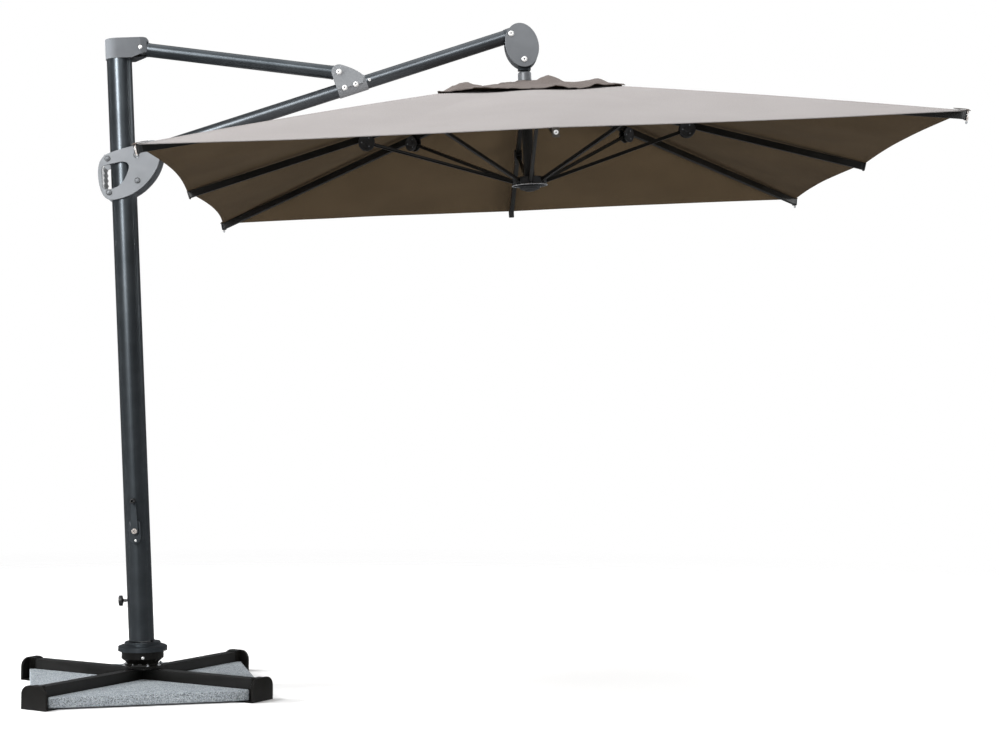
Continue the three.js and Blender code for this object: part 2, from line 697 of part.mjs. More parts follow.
// ---------------------------------------------------------------- cloth

// One ring of the square contour at a share of the half side, with the hem's scallops if asked.
function contour(half, height, drawIn) {
  const steps = 4;
  const points = [];
  for (let side = 0; side < 4; side += 1) {
    for (let step = 0; step < 2 * steps; step += 1) {
      const share = -1 + step / steps;
      const bay = (step % steps) / steps;
      const inward = drawIn * Math.sin(Math.PI * bay);
      const point = new THREE.Vector3(half - inward, half * share, height);
      point.applyAxisAngle(new THREE.Vector3(0, 0, 1), side * 90 * DEG);
      points.push(point);
    }
  }
  return points;
}

// Closes a strip of equal rings, each joined to the next and the last to the first.
function loftRings(rings) {
  const count = rings[0].length;
  const positions = rings.flat().flatMap((p) => [p.x, p.y, p.z]);
  const index = [];
  for (let row = 0; row < rings.length; row += 1) {
    const next = (row + 1) % rings.length;
    for (let i = 0; i < count; i += 1) {
      const j = (i + 1) % count;
      const a = row * count + i;
      const b = row * count + j;
      const c = next * count + j;
      const d = next * count + i;
      index.push(a, b, c, a, c, d);
    }
  }
  const geometry = new THREE.BufferGeometry();
  geometry.setAttribute('position', new THREE.Float32BufferAttribute(positions, 3));
  geometry.setIndex(index);
  geometry.computeVertexNormals();
  return geometry;
}

function clothHeight(half) {
  const { run, fall } = ribRun(false);
  return RIB.crown - (half - RIB.pivot) * fall / run + RIB.deep / 2 + 5;
}

function canopyCloth() {
  const outer = HALF_SIDE + 4;
  const hole = VENT.hole;
  return loftRings([
    contour(hole, clothHeight(hole), 0),
    contour(outer, clothHeight(outer), SCALLOP),
    contour(outer, clothHeight(outer) + CLOTH, SCALLOP),
    contour(hole, clothHeight(hole) + CLOTH, 0),
  ]);
}

function ventCap() {
  return loftRings([
    contour(VENT.neck, VENT.top - CLOTH, 0),
    contour(VENT.half, VENT.edge, 0),
    contour(VENT.half, VENT.edge + CLOTH, 0),
    contour(VENT.neck, VENT.top, 0),
  ]);
}

// ---------------------------------------------------------------- assembly

const RIB_NAMES = ['right_mid', 'back_right', 'back_mid', 'back_left',
  'left_mid', 'front_left', 'front_mid', 'front_right'];

function canopyGroup() {
  const group = new THREE.Group();
  group.add(named('tilt_yoke', tiltYoke(), plateGrey));
  group.add(named('canopy_shaft', shaft(), black));
  group.add(named('crown_hub', crown(), plastic));
  group.add(named('runner_hub', runner(), plastic));
  RIB_NAMES.forEach((place, index) => {
    const isCorner = index % 2 === 1;
    const turn = index * RIB_STEP;
    group.add(named(`rib_${place}`, rib(isCorner).rotateZ(turn), black));
    group.add(named(`strut_${place}`, strut(isCorner).rotateZ(turn), black));
  });
  group.add(named('canopy_cloth', canopyCloth(), taupe));
  group.add(named('vent_cap', ventCap(), taupe));
  const hung = new THREE.Group();
  hung.position.copy(TILT_PIN);
  hung.rotation.set(HANG.nod, -HANG.settle, 0);
  group.position.set(0, 0, RIM_Z - TILT_PIN.z);
  hung.add(group);
  return hung;
}

function mastGroup() {
  const group = new THREE.Group();
  group.add(named('mast_tube', mastTube(), graphite));
  group.add(named('mast_head', mastHead(), black));
  group.add(named('head_cap', headCap(), plateGrey));
  group.add(named('head_bolt', boltPin(LINK_HEAD, 46, 10), steel));
  group.add(named('crank_housing', crankHousing(), graphite));
  group.add(named('crank_drum', crankDrum(), steel));
  group.add(named('crank_arm', crankArm(), graphite));
  group.add(named('crank_knob', crankKnob(), plastic));
  group.add(named('clamp_knob', clampKnob(), plastic));
  group.add(named('link_tube', linkTube(), graphite));
  group.add(named('link_head_end', linkEnd(LINK_HEAD, LINK.start), graphite));
  group.add(named('arm_tube', armTube(), graphite));
  group.add(named('arm_foot', armFoot(), graphite));
  group.add(named('arm_bracket', armBracket(), graphite));
  group.add(named('arm_head', armHead(), graphite));
  group.add(named('disc_front', discFront(), plateGrey));
  group.add(named('disc_rear', discRear(), plateGrey));
  group.add(named('slider_plate_front', sliderPlate(-1), plateGrey));
  group.add(named('slider_plate_rear', sliderPlate(1), plateGrey));
  group.add(named('slider_sleeve', sliderSleeve(SLIDER.sleeveLow, SLIDER.sleeveHigh), plastic));
  group.add(named('slider_grip', sliderGrip(), plastic));
  group.add(named('hanger_neck', hanger(), plateGrey));
  group.add(canopyGroup());
  const lean = new THREE.Group();
  lean.position.z = RAKE_HEIGHT;
  lean.rotation.y = -RAKE;
  group.position.z = -RAKE_HEIGHT;
  lean.add(group);
  return lean;
}

const parasol = new THREE.Group();
parasol.add(base());
parasol.add(named('swivel_socket', swivelSocket(), black));
parasol.add(named('bearing_bush', bearingBush(), plastic));
parasol.add(named('base_spigot', spigot(), steel));
parasol.add(named('swivel_cover', swivelCover(), black));
parasol.add(named('brake_pedal', brakePedal(), black));
parasol.add(mastGroup());

export default parasol;
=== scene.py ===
import json
import math

import bmesh
import bpy
from mathutils import Matrix, Vector, noise

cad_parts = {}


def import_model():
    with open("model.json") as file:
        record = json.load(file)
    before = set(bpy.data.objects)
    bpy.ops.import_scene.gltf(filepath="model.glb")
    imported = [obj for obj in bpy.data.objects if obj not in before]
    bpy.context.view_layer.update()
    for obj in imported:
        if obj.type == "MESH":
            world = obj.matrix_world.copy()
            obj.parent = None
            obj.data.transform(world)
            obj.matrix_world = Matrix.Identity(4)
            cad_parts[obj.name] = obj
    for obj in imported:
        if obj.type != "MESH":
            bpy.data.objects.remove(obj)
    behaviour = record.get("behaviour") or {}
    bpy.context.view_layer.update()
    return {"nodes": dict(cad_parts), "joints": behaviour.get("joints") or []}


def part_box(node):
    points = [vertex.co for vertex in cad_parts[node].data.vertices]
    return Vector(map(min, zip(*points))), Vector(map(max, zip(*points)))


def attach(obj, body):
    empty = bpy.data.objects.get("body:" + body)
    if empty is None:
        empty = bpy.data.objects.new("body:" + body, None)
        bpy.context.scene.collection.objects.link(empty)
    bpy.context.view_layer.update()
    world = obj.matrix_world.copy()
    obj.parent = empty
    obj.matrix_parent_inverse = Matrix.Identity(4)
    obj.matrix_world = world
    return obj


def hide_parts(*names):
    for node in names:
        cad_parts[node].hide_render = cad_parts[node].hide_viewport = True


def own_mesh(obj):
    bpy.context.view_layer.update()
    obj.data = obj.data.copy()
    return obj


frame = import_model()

# Cantilever parasol. Metres, +Z up, origin on the floor under the middle of the base.

JOINTS = {joint["name"]: joint for joint in frame["joints"]}
RIBS = ["right_mid", "back_right", "back_mid", "back_left",
        "left_mid", "front_left", "front_mid", "front_right"]
QUARTERS = ["front_left", "front_right", "back_right", "back_left"]
SIDES = ["front", "right", "back", "left"]
EIGHTH = math.radians(45)


# ---------------------------------------------------------------- frames of reference

def axes(origin, x_side, z_axis):
    """The frame with this origin and Z axis, whose X axis is on the side of x_side."""
    z = Vector(z_axis).normalized()
    x = Vector(x_side)
    x = (x - x.dot(z) * z).normalized()
    matrix = Matrix((x, z.cross(x), z)).transposed().to_4x4()
    matrix.translation = origin
    return matrix


def mast_axes():
    """The leaning mast: z counts from the floor along its axis, and x points to the canopy."""
    lean_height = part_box("base_plate")[1].z
    up = -Vector(JOINTS["slider_slide"]["axis"])
    return axes((0, 0, lean_height), (1, 0, 0), up) @ Matrix.Translation((0, 0, -lean_height))


def canopy_axes():
    """The hung canopy: z counts from the rim plane up its pole."""
    pivots = [Vector(JOINTS[f"rib_{rib}_fold"]["pos_m"]) for rib in RIBS]
    centre = sum(pivots, Vector()) / len(pivots)
    up = -Vector(JOINTS["runner_slide"]["axis"])
    return axes(centre, pivots[0] - centre, up) @ Matrix.Translation((0, 0, -CROWN))


CROWN = 0.395                 # rib pivots above the rim plane
RIB_TIP = -0.008              # rib axis at the tip, from the rim plane
RIB_SHORT = 0.010             # from the rib's end to the hem
RIB_DEEP = 0.028
RIB_WIDE = 0.020
CAD_MARGIN = 0.005            # the CAD cloth reaches this far past the hem
MAST = mast_axes()
CANOPY = canopy_axes()
CANOPY_LOW, CANOPY_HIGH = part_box("canopy_cloth")
HALF_SIDE = (CANOPY_HIGH.y - CANOPY_LOW.y) / 2 - CAD_MARGIN
RIB_PIVOT = (CANOPY.inverted() @ Vector(JOINTS["rib_right_mid_fold"]["pos_m"])).x


def rib_directions(index):
    """Out along a rib and across it, in the rim plane."""
    heading = index * EIGHTH
    along = Vector((math.cos(heading), math.sin(heading), 0))
    across = Vector((-math.sin(heading), math.cos(heading), 0))
    return along, across


# ---------------------------------------------------------------- camera, floor, light

def camera():
    """Stands about eight metres in front at chest height, between mast and canopy."""
    data = bpy.data.cameras.new("camera")
    data.sensor_width = 36
    data.lens = 65.917
    obj = bpy.data.objects.new("camera", data)
    obj.location = (1.1726, -8.0206, 1.2144)
    obj.rotation_euler = (math.radians(90 + 1.321), 0, math.radians(-2.684))
    bpy.context.scene.collection.objects.link(obj)
    bpy.context.scene.camera = obj


def link_nodes(tree, *pairs):
    for source, target in pairs:
        tree.links.new(source, target)


def world():
    """A white backdrop that fills in softly and is dim in reflections."""
    shade = bpy.data.worlds.new("world")
    shade.use_nodes = True
    tree = shade.node_tree
    path = tree.nodes.new("ShaderNodeLightPath")
    dim = tree.nodes["Background"]
    dim.inputs["Color"].default_value = (0.93, 0.965, 1, 1)
    dim.inputs["Strength"].default_value = 0.15
    last = dim.outputs[0]
    for ray, strength in (("Is Diffuse Ray", 0.63), ("Is Camera Ray", 1.0)):
        white = tree.nodes.new("ShaderNodeBackground")
        white.inputs["Color"].default_value = (1, 1, 1, 1)
        white.inputs["Strength"].default_value = strength
        mix = tree.nodes.new("ShaderNodeMixShader")
        link_nodes(tree, (path.outputs[ray], mix.inputs[0]), (last, mix.inputs[1]),
                   (white.outputs[0], mix.inputs[2]))
        last = mix.outputs[0]
    tree.links.new(last, tree.nodes["World Output"].inputs[0])
    bpy.context.scene.world = shade


FLOOR_SEEN = (0.86, 0.86, 0.86)
FLOOR_REFLECTED = (0.12, 0.12, 0.12)


def floor():
    """A pale disc that fades into the backdrop far out, and is dim in reflections as that is."""
    mesh = bpy.data.meshes.new("floor")
    ring = 72
    radius = 40
    points = [(0, 0, 0)]
    for step in range(ring):
        turn = 2 * math.pi * step / ring
        points.append((radius * math.cos(turn), radius * math.sin(turn), 0))
    faces = [(0, 1 + step, 1 + (step + 1) % ring) for step in range(ring)]
    mesh.from_pydata(points, [], faces)
    obj = bpy.data.objects.new("floor", mesh)
    obj.location.z = -0.0005
    bpy.context.scene.collection.objects.link(obj)
    material, tree, shader = new_material("floor", FLOOR_SEEN, 0.9)
    place = tree.nodes.new("ShaderNodeTexCoord")
    length = tree.nodes.new("ShaderNodeVectorMath")
    length.operation = "LENGTH"
    fade = tree.nodes.new("ShaderNodeMapRange")
    fade.inputs["From Min"].default_value = 2.5
    fade.inputs["From Max"].default_value = 8
    clear = tree.nodes.new("ShaderNodeBsdfTransparent")
    mix = tree.nodes.new("ShaderNodeMixShader")
    path = tree.nodes.new("ShaderNodeLightPath")
    tone = mix_colour(tree, path.outputs["Is Glossy Ray"], FLOOR_SEEN, FLOOR_REFLECTED)
    tree.links.new(tone, shader.inputs["Base Color"])
    link_nodes(tree, (place.outputs["Object"], length.inputs[0]),
               (length.outputs["Value"], fade.inputs["Value"]),
               (fade.outputs[0], mix.inputs[0]), (shader.outputs[0], mix.inputs[1]),
               (clear.outputs[0], mix.inputs[2]),
               (mix.outputs[0], tree.nodes["Material Output"].inputs[0]))
    mesh.materials.append(material)


def softbox(name, place, target, wide, tall, power):
    """A rectangular area light, turned to its target."""
    data = bpy.data.lights.new(name, "AREA")
    data.shape = "RECTANGLE"
    data.size = wide
    data.size_y = tall
    data.energy = power
    obj = bpy.data.objects.new(name, data)
    obj.location = place
    towards = Vector(target) - Vector(place)
    obj.rotation_euler = towards.to_track_quat("-Z", "Y").to_euler()
    bpy.context.scene.collection.objects.link(obj)
    return obj


def studio():
    """Soft light from above and a little from behind, two lights that show only in reflections,
    and five that only fill in."""
    camera()
    world()
    floor()
    softbox("overhead", (3.2, 0.2, 8.5), (1.8, 0, 0), 9, 9, 430)
    for name, start, aim, wide, tall, power in (
            ("left_strip", (-3.3, -8.8, 5.2), (-0.2, 0, 2.4), 1.6, 3.4, 1100),
            ("front_top", (1.0, -6.8, 6.6), (1.0, 0, 2.5), 7, 2.2, 340)):
        lamp = softbox(name, start, aim, wide, tall, power)
        lamp.visible_diffuse = False
    for name, start, aim, size, power in (
            ("left_low", (-6.5, -1.5, 0.6), (0.5, 0, 2.4), 2, 400),
            ("right_low", (8.5, -1.5, 0.6), (2.5, 0, 2.4), 2, 460),
            ("left_high", (-5.5, 0, 3.4), (0.5, 0, 2.5), 2, 340),
            ("right_high", (8.0, -2.5, 5.0), (3.0, 0, 2.5), 2, 170),
            ("left_top", (-4.0, -1.5, 6.5), (0, 0, 0), 3, 400)):
        lamp = softbox(name, start, aim, size, size, power)
        lamp.visible_glossy = False
    softbox("back_right", (6.5, 2.5, 4.2), (0, 0, 1.8), 1.5, 4, 70)
    bpy.context.scene.view_settings.view_transform = "Standard"


# ---------------------------------------------------------------- materials

def new_material(name, colour, roughness, metallic=0.0):
    material = bpy.data.materials.new(name)
    material.use_nodes = True
    tree = material.node_tree
    shader = tree.nodes["Principled BSDF"]
    shader.inputs["Base Color"].default_value = (*colour, 1)
    shader.inputs["Roughness"].default_value = roughness
    shader.inputs["Metallic"].default_value = metallic
    return material, tree, shader


def object_place(tree, stretch=(1, 1, 1)):
    place = tree.nodes.new("ShaderNodeTexCoord")
    mapping = tree.nodes.new("ShaderNodeMapping")
    mapping.inputs["Scale"].default_value = stretch
    tree.links.new(place.outputs["Object"], mapping.inputs["Vector"])
    return mapping.outputs[0]


def noise_value(tree, vector, scale, detail=2.0):
    node = tree.nodes.new("ShaderNodeTexNoise")
    node.inputs["Scale"].default_value = scale
    node.inputs["Detail"].default_value = detail
    tree.links.new(vector, node.inputs["Vector"])
    return node.outputs["Fac"]


def ramp(tree, value, *stops):
    """Colour stops, each (position, (red, green, blue))."""
    node = tree.nodes.new("ShaderNodeValToRGB")
    elements = node.color_ramp.elements
    while len(elements) < len(stops):
        elements.new(0.5)
    for element, (position, colour) in zip(elements, stops):
        element.position = position
        element.color = (*colour, 1)
    tree.links.new(value, node.inputs[0])
    return node.outputs["Color"]


def between(tree, value, low, high, out_low, out_high):
    node = tree.nodes.new("ShaderNodeMapRange")
    for name, number in (("From Min", low), ("From Max", high), ("To Min", out_low), ("To Max", out_high)):
        node.inputs[name].default_value = number
    tree.links.new(value, node.inputs["Value"])
    return node.outputs[0]


def math_node(tree, operation, first, second=None):
    node = tree.nodes.new("ShaderNodeMath")
    node.operation = operation
    for socket, value in zip(node.inputs, (first, second)):
        if value is None:
            continue
        if isinstance(value, (int, float)):
            socket.default_value = value
        else:
            tree.links.new(value, socket)
    return node.outputs[0]


def mix_colour(tree, share, first, second, blend="MIX"):
    node = tree.nodes.new("ShaderNodeMix")
    node.data_type = "RGBA"
    node.blend_type = blend
    sockets = [node.inputs[0], node.inputs[6], node.inputs[7]]
    for socket, value in zip(sockets, (share, first, second)):
        if isinstance(value, (int, float)):
            socket.default_value = value
        elif isinstance(value, tuple):
            socket.default_value = (*value, 1)
        else:
            tree.links.new(value, socket)
    return node.outputs[2]


def bump(tree, shader, height, strength, distance):
    node = tree.nodes.new("ShaderNodeBump")
    node.inputs["Strength"].default_value = strength
    node.inputs["Distance"].default_value = distance
    link_nodes(tree, (height, node.inputs["Height"]), (node.outputs[0], shader.inputs["Normal"]))


def worn(tree, colour, bare, amount):
    """The colour with a thin lighter line where an edge has been rubbed."""
    geometry = tree.nodes.new("ShaderNodeNewGeometry")
    edge = between(tree, geometry.outputs["Pointiness"], 0.53, 0.60, 0.0, amount)
    return mix_colour(tree, edge, colour, bare)


def paint(name, dark, light, bare, roughness, metallic, grain, gloss=0.5):
    """Satin powder coat: a fine orange-peel skin and a faint cloudiness."""
    material, tree, shader = new_material(name, light, roughness, metallic)
    shader.inputs["Specular IOR Level"].default_value = gloss
    place = object_place(tree)
    cloud = ramp(tree, noise_value(tree, place, 9, 4), (0.35, dark), (0.65, light))
    tree.links.new(worn(tree, cloud, bare, 0.55), shader.inputs["Base Color"])
    patch = noise_value(tree, place, 60, 3)
    tree.links.new(between(tree, patch, 0.3, 0.7, roughness - 0.015, roughness + 0.02),
                   shader.inputs["Roughness"])
    bump(tree, shader, noise_value(tree, place, grain, 2), 0.04, 0.0001)
    return material


def plastic(name, dark, light, roughness):
    """Moulded plastic with a spark-eroded grain."""
    material, tree, shader = new_material(name, light, roughness)
    place = object_place(tree)
    cloud = ramp(tree, noise_value(tree, place, 30, 3), (0.3, dark), (0.7, light))
    tree.links.new(cloud, shader.inputs["Base Color"])
    cells = tree.nodes.new("ShaderNodeTexVoronoi")
    cells.inputs["Scale"].default_value = 900
    tree.links.new(place, cells.inputs["Vector"])
    bump(tree, shader, cells.outputs["Distance"], 0.3, 0.00015)
    return material


def brushed_steel():
    material, tree, shader = new_material("bright_steel", (0.75, 0.76, 0.78), 0.22, 0.9)
    fine = noise_value(tree, object_place(tree, (60, 60, 900)), 4, 3)
    tree.links.new(ramp(tree, fine, (0.3, (0.62, 0.63, 0.65)), (0.7, (0.84, 0.85, 0.87))),
                   shader.inputs["Base Color"])
    tree.links.new(between(tree, fine, 0.3, 0.7, 0.18, 0.32), shader.inputs["Roughness"])
    bump(tree, shader, fine, 0.1, 0.00005)
    return material


def zinc(name, colour, roughness):
    """Passivated zinc on a screw: pale, satin, a little cloudy."""
    material, tree, shader = new_material(name, colour, roughness, 0.25)
    cloud = noise_value(tree, object_place(tree), 500, 3)
    paler = tuple(min(1.0, 1.12 * part) for part in colour)
    tree.links.new(ramp(tree, cloud, (0.3, colour), (0.7, paler)), shader.inputs["Base Color"])
    bump(tree, shader, cloud, 0.15, 0.0001)
    return material


def granite():
    """Grey granite: pale and dark grains a few millimetres wide over a clouded ground."""
    material, tree, shader = new_material("granite", (0.3, 0.33, 0.36), 0.72)
    place = object_place(tree)
    cloud = ramp(tree, noise_value(tree, place, 14, 5),
                 (0.3, (0.245, 0.275, 0.300)), (0.7, (0.310, 0.345, 0.370)))
    colour = cloud
    for scale, cut, grain, share in ((230, 0.32, (0.055, 0.064, 0.073), 0.70),
                                     (330, 0.22, (0.60, 0.64, 0.66), 0.50),
                                     (560, 0.36, (0.085, 0.097, 0.110), 0.55)):
        cells = tree.nodes.new("ShaderNodeTexVoronoi")
        cells.inputs["Scale"].default_value = scale
        tree.links.new(place, cells.inputs["Vector"])
        pick = tree.nodes.new("ShaderNodeSeparateColor")
        tree.links.new(cells.outputs["Color"], pick.inputs[0])
        chosen = between(tree, pick.outputs[0], cut, cut - 0.04, 0, share)
        colour = mix_colour(tree, chosen, colour, grain)
    tree.links.new(colour, shader.inputs["Base Color"])
    rough = noise_value(tree, place, 420, 3)
    tree.links.new(between(tree, rough, 0.3, 0.7, 0.6, 0.85), shader.inputs["Roughness"])
    bump(tree, shader, rough, 0.5, 0.0008)
    return material


CLOTH_UV = "cloth_metres"
THREAD_PITCH = 0.0016
STITCH_LINE = 0.0045          # stitch rows on either side of a seam
HEM_STITCH = 0.021            # stitch row from the hem
STITCH_HALF = 0.0007          # half the width of a stitch
STITCH_PITCH = 0.006
STITCH_GAP = -0.35            # a stitch shows where its sine is above this


def wave(tree, length, pitch):
    """The sine of a length in metres, once round in each pitch."""
    return math_node(tree, "SINE", math_node(tree, "MULTIPLY", length, 2 * math.pi / pitch))


def stitch_row(tree, distance, line, run):
    """One on the stitches of a row that lies at a distance and goes along a run."""
    off = math_node(tree, "ABSOLUTE", math_node(tree, "SUBTRACT", distance, line))
    on_row = math_node(tree, "LESS_THAN", off, STITCH_HALF)
    dash = math_node(tree, "GREATER_THAN", wave(tree, run, STITCH_PITCH), STITCH_GAP)
    return math_node(tree, "MULTIPLY", on_row, dash)


def woven(name, dark, light, stitch_colour):
    """Plain-woven canopy cloth. The UV map holds metres: u across the gore from its seam, v out
    from the crown. The attribute hem holds the distance to the hem."""
    material, tree, shader = new_material(name, light, 0.88)
    uv = tree.nodes.new("ShaderNodeUVMap")
    uv.uv_map = CLOTH_UV
    split = tree.nodes.new("ShaderNodeSeparateXYZ")
    tree.links.new(uv.outputs[0], split.inputs[0])
    across, along = split.outputs["X"], split.outputs["Y"]
    weave = math_node(tree, "MULTIPLY", wave(tree, across, THREAD_PITCH),
                      wave(tree, along, THREAD_PITCH))
    stretch = tree.nodes.new("ShaderNodeMapping")
    stretch.inputs["Scale"].default_value = (1, 12, 1)
    tree.links.new(uv.outputs[0], stretch.inputs["Vector"])
    slub = noise_value(tree, stretch.outputs[0], 90, 3)
    heather = noise_value(tree, uv.outputs[0], 240, 2)
    cloud = noise_value(tree, uv.outputs[0], 2.5, 4)
    tone = math_node(tree, "ADD", math_node(tree, "MULTIPLY", slub, 0.4),
                     math_node(tree, "ADD", math_node(tree, "MULTIPLY", heather, 0.4),
                               math_node(tree, "MULTIPLY", cloud, 0.2)))
    cloth = ramp(tree, tone, (0.38, dark), (0.62, light))
    hem = tree.nodes.new("ShaderNodeAttribute")
    hem.attribute_name = "hem"
    seam_row = stitch_row(tree, math_node(tree, "ABSOLUTE", across), STITCH_LINE, along)
    hem_row = stitch_row(tree, hem.outputs["Fac"], HEM_STITCH, across)
    stitch = math_node(tree, "MAXIMUM", seam_row, hem_row)
    tree.links.new(mix_colour(tree, stitch, cloth, stitch_colour), shader.inputs["Base Color"])
    shader.inputs["Specular IOR Level"].default_value = 0.06
    shader.inputs["Sheen Weight"].default_value = 0.006
    shader.inputs["Sheen Roughness"].default_value = 0.5
    relief = math_node(tree, "ADD", math_node(tree, "MULTIPLY", weave, 0.3),
                       math_node(tree, "ADD", slub, math_node(tree, "MULTIPLY", stitch, 1.5)))
    bump(tree, shader, relief, 0.35, 0.0004)
    return material


def webbing():
    """Brown tape with a twill."""
    material, tree, shader = new_material("webbing", (0.07, 0.05, 0.04), 0.85)
    twill = tree.nodes.new("ShaderNodeTexWave")
    twill.bands_direction = "DIAGONAL"
    twill.inputs["Scale"].default_value = 160
    tree.links.new(object_place(tree), twill.inputs["Vector"])
    brown = ramp(tree, twill.outputs["Fac"], (0.2, (0.045, 0.032, 0.026)), (0.8, (0.085, 0.064, 0.053)))
    tree.links.new(brown, shader.inputs["Base Color"])
    bump(tree, shader, twill.outputs["Fac"], 0.4, 0.0004)
    return material


def clear_plastic():
    material, tree, shader = new_material("clear_plastic", (0.60, 0.57, 0.55), 0.3)
    cloud = noise_value(tree, object_place(tree), 160, 3)
    tree.links.new(ramp(tree, cloud, (0.3, (0.22, 0.19, 0.17)), (0.7, (0.46, 0.43, 0.41))),
                   shader.inputs["Base Color"])
    bump(tree, shader, cloud, 0.2, 0.0003)
    return material


LOOKS = {
    "graphite_paint": paint("graphite_paint", (0.048, 0.056, 0.063), (0.066, 0.076, 0.084),
                            (0.24, 0.25, 0.27), 0.33, 0.85, 900),
    "grey_casting": paint("grey_casting", (0.112, 0.120, 0.130), (0.138, 0.147, 0.158),
                          (0.40, 0.42, 0.44), 0.42, 0.25, 600, 0.4),
    "matt_casting": paint("matt_casting", (0.112, 0.120, 0.131), (0.138, 0.148, 0.160),
                          (0.40, 0.42, 0.44), 0.6, 0.0, 600, 0.2),
    "black_frame": paint("black_frame", (0.0040, 0.0038, 0.0032), (0.0070, 0.0066, 0.0058),
                         (0.05, 0.051, 0.053), 0.36, 0.0, 900, 0.20),
    "granite": granite(),
    "bright_steel": brushed_steel(),
    "black_plastic": plastic("black_plastic", (0.010, 0.0105, 0.011), (0.018, 0.0185, 0.0195), 0.46),
    "grip_plastic": plastic("grip_plastic", (0.42, 0.43, 0.44), (0.55, 0.56, 0.57), 0.34),
    "clear_plastic": clear_plastic(),
    "smoke_plastic": plastic("smoke_plastic", (0.036, 0.029, 0.022), (0.060, 0.050, 0.040), 0.35),
    "cloth_top": woven("cloth_top", (0.262, 0.245, 0.240), (0.335, 0.316, 0.312), (0.20, 0.185, 0.18)),
    # The underside is the same cloth painted darker and browner: painted shade for the shade under the
    # canopy.
    "cloth_under_painted_shade": woven("cloth_under_painted_shade", (0.029, 0.0190, 0.0092), (0.062, 0.0425, 0.0230),
                         (0.024, 0.016, 0.009)),
    "cloth_vent": woven("cloth_vent", (0.118, 0.100, 0.092), (0.178, 0.156, 0.147), (0.09, 0.078, 0.072)),
    "cloth_tab": webbing(),
    "zinc": zinc("zinc", (0.74, 0.74, 0.73), 0.30),
    # A much darker zinc for the screw sockets: painted shade in the recess.
    "zinc_painted_shade": zinc("zinc_painted_shade", (0.20, 0.20, 0.205), 0.5),
}


# ---------------------------------------------------------------- meshes

def new_piece(name, mesh, look, place, body, replaced=(), sharp=35):
    """A finished object in the parasol's frame that rides on a body."""
    mesh.transform(place)
    mesh.shade_smooth()
    mesh.set_sharp_from_angle(angle=math.radians(sharp))
    obj = bpy.data.objects.new(name, mesh)
    bpy.context.scene.collection.objects.link(obj)
    if not mesh.materials:
        mesh.materials.append(LOOKS[look])
    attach(obj, body)
    if replaced:
        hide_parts(*replaced)
    return obj


def turned(name, profile, segments=40):
    """A solid of revolution about Z from (radius, height) pairs; it starts and ends on the axis,
    or closes on itself."""
    closed = profile[0] == profile[-1]
    ring = profile[:-1] if closed else profile
    points = []
    rows = []
    for radius, height in ring:
        if radius < 1e-9:
            rows.append([len(points)] * segments)
            points.append((0, 0, height))
            continue
        row = []
        for step in range(segments):
            turn = 2 * math.pi * step / segments
            row.append(len(points))
            points.append((radius * math.cos(turn), radius * math.sin(turn), height))
        rows.append(row)
    faces = []
    count = len(rows) if closed else len(rows) - 1
    for index in range(count):
        low, high = rows[index], rows[(index + 1) % len(rows)]
        for step in range(segments):
            after = (step + 1) % segments
            corners = [low[step], low[after], high[after], high[step]]
            face = list(dict.fromkeys(corners))
            if len(face) > 2:
                faces.append(face)
    mesh = bpy.data.meshes.new(name)
    mesh.from_pydata(points, [], faces)
    fix_normals(mesh)
    return mesh


def fix_normals(mesh):
    work = bmesh.new()
    work.from_mesh(mesh)
    bmesh.ops.recalc_face_normals(work, faces=work.faces)
    work.to_mesh(mesh)
    work.free()


def prism(name, outline, depth, bevel=0.0015):
    """An XY outline with a thickness along Z from 0, its edges rounded."""
    work = bmesh.new()
    face = work.faces.new([work.verts.new((x, y, 0)) for x, y in outline])
    result = bmesh.ops.extrude_face_region(work, geom=[face])
    lifted = [item for item in result["geom"] if isinstance(item, bmesh.types.BMVert)]
    bmesh.ops.translate(work, verts=lifted, vec=(0, 0, depth))
    bmesh.ops.recalc_face_normals(work, faces=work.faces)
    if bevel:
        bmesh.ops.bevel(work, geom=work.edges[:], offset=bevel, segments=2, affect="EDGES", profile=0.5)
    mesh = bpy.data.meshes.new(name)
    work.to_mesh(mesh)
    work.free()
    return mesh


def merged(name, *meshes):
    work = bmesh.new()
    for mesh in meshes:
        work.from_mesh(mesh)
    whole = bpy.data.meshes.new(name)
    work.to_mesh(whole)
    work.free()
    return whole


def moved(mesh, matrix):
    mesh.transform(matrix)
    return mesh


def looking(origin, direction, x_side=(1, 0, 0)):
    """A place whose Z axis points outwards along a direction."""
    side = x_side
    if abs(Vector(direction).normalized().dot(Vector(side))) > 0.95:
        side = (0, 0, 1)
    return axes(origin, side, direction)


# ---------------------------------------------------------------- the frame's own solids

def dress(node, look, edge=0.0012):
    """A CAD solid with its material, and its sharp edges rounded."""
    obj = frame["nodes"][node]
    mesh = obj.data
    mesh.materials.clear()
    mesh.materials.append(LOOKS[look])
    if "custom_normal" in mesh.attributes:
        mesh.attributes.remove(mesh.attributes["custom_normal"])
    mesh.shade_smooth()
    weld = obj.modifiers.new("weld", "WELD")
    weld.merge_threshold = 2e-5
    planar = obj.modifiers.new("planar", "DECIMATE")
    planar.decimate_type = "DISSOLVE"
    planar.angle_limit = math.radians(0.5)
    rounded = obj.modifiers.new("edges", "BEVEL")
    rounded.width = edge
    rounded.segments = 3
    rounded.limit_method = "ANGLE"
    rounded.angle_limit = math.radians(32)
    rounded.harden_normals = True
    rounded.use_clamp_overlap = True


